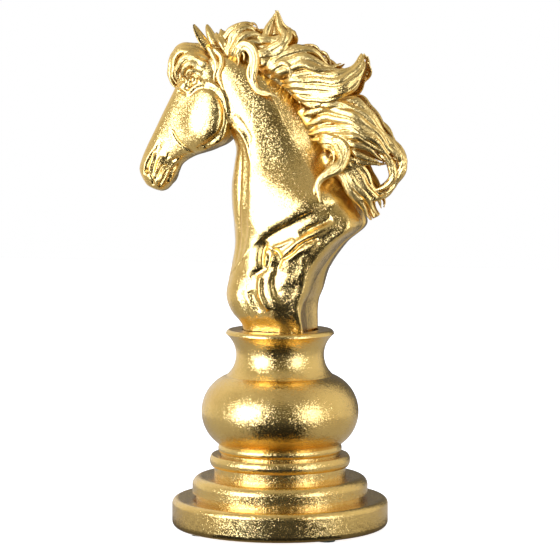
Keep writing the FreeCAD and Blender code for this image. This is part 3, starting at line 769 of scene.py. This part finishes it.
def gold_leaf(name, smooth, rough):
    """Burnished leaf: tiny facets that sparkle, soft patches of tone and polish, and recesses darkened
    browner as painted shade.
    """
    nodes = Nodes(name)
    place = nodes.add("TexCoord").outputs["Object"]
    patches = nodes.add("TexNoise", Vector=place, Scale=28.0, Detail=4.0).outputs["Fac"]
    wrinkles = nodes.add("TexNoise", Vector=place, Scale=170.0, Detail=4.0).outputs["Fac"]
    openness = nodes.add("AmbientOcclusion", Distance=PAINTED_SHADE_REACH).outputs["AO"]
    tone = nodes.ramp(patches, 0.3, 0.7, LEAF_DARK, LEAF_LIGHT)
    # Painted shade: where ambient occlusion finds the surface hemmed in, the leaf's tone fades to the
    # browner recess colour.
    color = nodes.mix(nodes.ramp(openness, 0.1, 0.65, 0.0, 1.0), LEAF_PAINTED_SHADE, tone, color=True)
    nodes.set(nodes.shader, "Base Color", color)
    nodes.set(nodes.shader, "Metallic", 1)
    nodes.set(nodes.shader, "Roughness", nodes.ramp(patches, 0.3, 0.7, smooth, rough))
    bump = nodes.add("Bump", Height=wrinkles, Strength=0.2, Distance=0.001).outputs["Normal"]
    facets = nodes.add("TexVoronoi", Vector=place, Scale=FACET_SCALE).outputs["Color"]
    lean = nodes.vector("SUBTRACT", facets, (0.5, 0.5, 0.5))
    cubed = nodes.vector("MULTIPLY", lean, nodes.vector("MULTIPLY", lean, lean))
    tilt = nodes.vector("MULTIPLY", cubed, (FACET_TILT, FACET_TILT, FACET_TILT))
    nodes.set(nodes.shader, "Normal", nodes.vector("NORMALIZE", nodes.vector("ADD", bump, tilt)))
    return nodes.owner


def dress(obj, material):
    """Gives every face of obj the material."""
    obj.data.materials.clear()
    obj.data.materials.append(material)


# Colour, roughness, metallic, scale and depth of the grain of each plain finish.
FINISHES = {
    "felt": ((0.03, 0.05, 0.035), 0.95, 0, 1500, 0.6),
    "board": ((0.3, 0.19, 0.1), 0.7, 0, 260, 0.25),
    "zinc_steel": ((0.6, 0.61, 0.6), 0.34, 1, 500, 0.08),
    "black_plastic": ((0.018, 0.018, 0.02), 0.45, 0, 900, 0.1),
    "rubber": ((0.03, 0.03, 0.03), 0.8, 0, 700, 0.1),
    "grey_resin": ((0.42, 0.4, 0.36), 0.6, 0, 350, 0.15),
    "brass": ((0.75, 0.55, 0.25), 0.3, 1, 500, 0.08),
    "sand": ((0.5, 0.38, 0.23), 0.95, 0, 1300, 1),
}
# The finish of the frame's nodes whose names start with these words.
FINISH_OF = {
    "foot_pad": "felt",
    "base_cover": "board",
    "cover_screw": "zinc_steel",
    "tie_rod": "zinc_steel",
    "bust_dowel": "zinc_steel",
    "filler_socket": "black_plastic",
    "filler_plug": "black_plastic",
    "plug_seal": "rubber",
    "bust_floor": "grey_resin",
    "rod_insert": "brass",
    "sand_fill": "sand",
}


def plain_finish(name):
    """A plain material with a fine grain in its colour and surface."""
    color, roughness, metallic, scale, depth = FINISHES[name]
    darker = tuple(0.75 * channel for channel in color)
    nodes = Nodes(name)
    place = nodes.add("TexCoord").outputs["Object"]
    grain = nodes.add("TexNoise", Vector=place, Scale=scale, Detail=5.0).outputs["Fac"]
    polish = nodes.ramp(grain, 0.3, 0.7, roughness - 0.05, roughness + 0.05)
    bump = nodes.add("Bump", Height=grain, Strength=depth, Distance=0.0005).outputs["Normal"]
    nodes.set(nodes.shader, "Base Color", nodes.ramp(grain, 0.3, 0.7, darker, color))
    nodes.set(nodes.shader, "Roughness", polish)
    nodes.set(nodes.shader, "Metallic", metallic)
    nodes.set(nodes.shader, "Normal", bump)
    return nodes.owner


# The turned rings of the pedestal keep their CAD shapes and take the gold.
GOLD_NODES = ("plinth", "shoulder_step", "band_ring", "bead_ring", "bulb", "collar")


# ---------------------------------------------------------------- studio

VIEW_AZIMUTH = 15  # degrees from the horse's left side towards its tail
HEIGHT = cad_high.z - cad_low.z
# The camera's distance and height, and the height it looks at, in heights of the piece.
CAMERA_BACK = 5.4
CAMERA_UP = 0.95
CAMERA_AIM = 0.4795
LENS = 181.6  # millimetres


def make_camera():
    """A long lens a little above the horse's left side."""
    turn = math.radians(VIEW_AZIMUTH)
    back = Vector((math.sin(turn), -math.cos(turn), 0))
    spot = back * CAMERA_BACK * HEIGHT + Vector((0, 0, CAMERA_UP * HEIGHT))
    aim = Vector((0, 0, CAMERA_AIM * HEIGHT))
    data = bpy.data.cameras.new("camera")
    data.lens = LENS
    data.sensor_width = 36
    camera = bpy.data.objects.new("camera", data)
    camera.location = spot
    camera.rotation_euler = (aim - spot).to_track_quat("-Z", "Y").to_euler()
    bpy.context.scene.collection.objects.link(camera)
    bpy.context.scene.camera = camera


def patch(nodes, direction, azimuth, half_width, low, high, edge):
    """1 inside a patch of the surroundings, 0 outside: degrees from the camera and above the horizon."""
    x, y, z = nodes.add("SeparateXYZ", Vector=direction).outputs
    turn = math.radians(VIEW_AZIMUTH + azimuth)
    sine, cosine = math.sin(turn), math.cos(turn)
    ahead = nodes.math("SUBTRACT", nodes.math("MULTIPLY", x, sine), nodes.math("MULTIPLY", y, cosine))
    aside = nodes.math("ADD", nodes.math("MULTIPLY", x, cosine), nodes.math("MULTIPLY", y, sine))
    angle = nodes.math("ABSOLUTE", nodes.math("ARCTAN2", aside, ahead))
    spread = nodes.math("MULTIPLY", angle, math.degrees(1))
    lift = nodes.math("MULTIPLY", nodes.math("ARCSINE", z), math.degrees(1))
    wide = nodes.rise(spread, half_width + edge, half_width - edge)
    above = nodes.rise(lift, low - edge, low + edge)
    below = nodes.rise(lift, high + edge, high - edge)
    return nodes.math("MULTIPLY", wide, nodes.math("MULTIPLY", above, below))


# The gold sees a room of this brightness with patches in it. Each patch: azimuth from the camera, half
# width, low, high and edge in degrees, and brightness. Later patches cover earlier ones.
ROOM_LEVEL = 0.4
ROOM = [
    (-95, 75, -95, 95, 25, 0.6),
    (-145, 35, -95, 95, 20, 0.9),
    (120, 62, -95, 60, 25, 0.78),
    (162, 24, -95, 60, 8, 0.15),
    (0, 24, -40, 40, 8, 0.12),
    (0, 75, -95, -32, 6, 0.12),
    (-49, 20, -19, 30, 5, 6.0),
    (47, 12, -22, 28, 5, 3.8),
]
# The light's tint runs from the first to the second as its brightness goes from 1.2 to 4.
DIM_TINT = (1.0, 1.0, 1.0)
BRIGHT_TINT = (0.85, 1.0, 1.5)


def make_world():
    """White to the camera; to the gold, a room with two soft boxes and a dark side round the camera."""
    nodes = Nodes("studio", bpy.data.worlds)
    bpy.context.scene.world = nodes.owner
    nodes.tree.nodes.clear()
    direction = nodes.add("TexCoord").outputs["Generated"]
    light = ROOM_LEVEL
    for *place, brightness in ROOM:
        light = nodes.mix(patch(nodes, direction, *place), light, brightness)
    tint = nodes.ramp(light, 1.2, 4.0, DIM_TINT, BRIGHT_TINT)
    room = nodes.add("Background", Strength=light, Color=tint)
    white = nodes.add("Background", Strength=1.0, Color=(1, 1, 1, 1))
    choose = nodes.add("MixShader", Fac=nodes.add("LightPath").outputs["Is Camera Ray"])
    nodes.set(choose, 1, room.outputs[0])
    nodes.set(choose, 2, white.outputs[0])
    nodes.add("OutputWorld", Surface=choose.outputs[0])


CARD_STEP = 4  # degrees between the corners of a card's rim


def sector(name, inner, outer, turns, lift, color, glow):
    """A flat card on the ground, seen only in the gold: part of a ring, in heights and degrees."""
    angles = range(turns[0], turns[1] + 1, CARD_STEP)
    rim = []
    for radius, edge in ((inner * HEIGHT, angles), (outer * HEIGHT, reversed(angles))):
        for angle in edge:
            turn = math.radians(VIEW_AZIMUTH + angle)
            rim.append((radius * math.sin(turn), -radius * math.cos(turn), lift * HEIGHT))
    mesh = bpy.data.meshes.new(name)
    mesh.from_pydata(rim, [], [tuple(range(len(rim)))])
    card = new_object(name, mesh)
    nodes = Nodes(name)
    nodes.set(nodes.shader, "Base Color", (*color, 1))
    nodes.set(nodes.shader, "Roughness", 1)
    nodes.set(nodes.shader, "Emission Color", (1, 1, 1, 1))
    nodes.set(nodes.shader, "Emission Strength", glow)
    dress(card, nodes.owner)
    card.visible_camera = False
    card.visible_diffuse = False
    card.visible_shadow = False


def make_cards():
    """The paper the piece stands on, its shaded middle, and a dark sheet in front of it."""
    sector("paper", 0.27, 1.5, (-176, 176), 0.0008, (0.1, 0.1, 0.1), 0.38)
    sector("shade", 0.2, 0.27, (-176, 176), 0.001, (0.05, 0.04, 0.03), 0.08)
    sector("dark_sheet", 0.21, 1.9, (-40, 36), 0.0012, (0.006, 0.005, 0.003), 0.0)


FLOOR_HALF = 6  # in heights of the piece


def make_floor():
    """A shadowless white sweep that the gold doesn't mirror, open from below."""
    half = FLOOR_HALF * HEIGHT
    corners = [(-half, -half, 0), (half, -half, 0), (half, half, 0), (-half, half, 0)]
    mesh = bpy.data.meshes.new("floor")
    mesh.from_pydata(corners, [], [(0, 1, 2, 3)])
    floor = new_object("floor", mesh)
    nodes = Nodes("floor")
    nodes.set(nodes.shader, "Base Color", (0.9, 0.9, 0.9, 1))
    nodes.set(nodes.shader, "Roughness", 0.9)
    nodes.set(nodes.shader, "Emission Color", (1, 1, 1, 1))
    nodes.set(nodes.shader, "Emission Strength", 0.8)
    choose = nodes.add("MixShader", Fac=nodes.add("NewGeometry").outputs["Backfacing"])
    nodes.set(choose, 1, nodes.shader.outputs[0])
    nodes.set(choose, 2, nodes.add("BsdfTransparent").outputs[0])
    nodes.set(nodes.tree.nodes["Material Output"], "Surface", choose.outputs[0])
    dress(floor, nodes.owner)
    floor.visible_glossy = False


bpy.context.scene.view_settings.view_transform = "Standard"
gold = gold_leaf("gold_leaf", smooth=0.15, rough=0.24)
hair_gold = gold_leaf("hair_gold_leaf", smooth=0.24, rough=0.34)
for node_name in GOLD_NODES:
    dress(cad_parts[node_name], gold)
dress(make_bust(), gold)
for piece_name in LOCKS:
    dress(make_hair(piece_name), hair_gold)
dress(make_ear("left_ear", -1), gold)
dress(make_ear("right_ear", 1), gold)
finishes = {name: plain_finish(name) for name in FINISHES}
for node_name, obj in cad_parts.items():
    for start, finish in FINISH_OF.items():
        if node_name.startswith(start):
            dress(obj, finishes[finish])
make_world()
make_floor()
make_cards()
make_camera()
